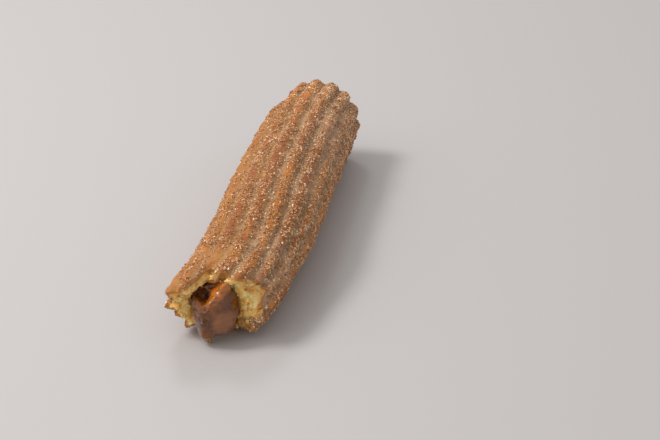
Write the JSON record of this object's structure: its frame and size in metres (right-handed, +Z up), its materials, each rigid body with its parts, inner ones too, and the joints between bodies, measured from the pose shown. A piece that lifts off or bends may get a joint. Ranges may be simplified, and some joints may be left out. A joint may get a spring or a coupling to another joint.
{
  "type": "filled churro piece",
  "caption": "Torn piece of a filled churro: ribbed fried dough rolled in cinnamon sugar, with a caramel core that bulges out of its torn end.",
  "frame": {"origin": "middle of the footprint of the whole, on the surface that the churro lies on", "axes": "+Y along the churro towards its piped end, so the torn end is at -Y; +Z up; +X to the right seen from the torn end"},
  "size_m": [0.0382, 0.1349, 0.0292],
  "materials": {
    "fried_dough": "fried crust, rough with cinnamon sugar, with a pale yellow crumb where it is torn",
    "caramel": "thick, sticky and glossy"
  },
  "bodies": {
    "root": {"dough": "fried_dough", "filling": "caramel"}
  },
  "joints": []
}
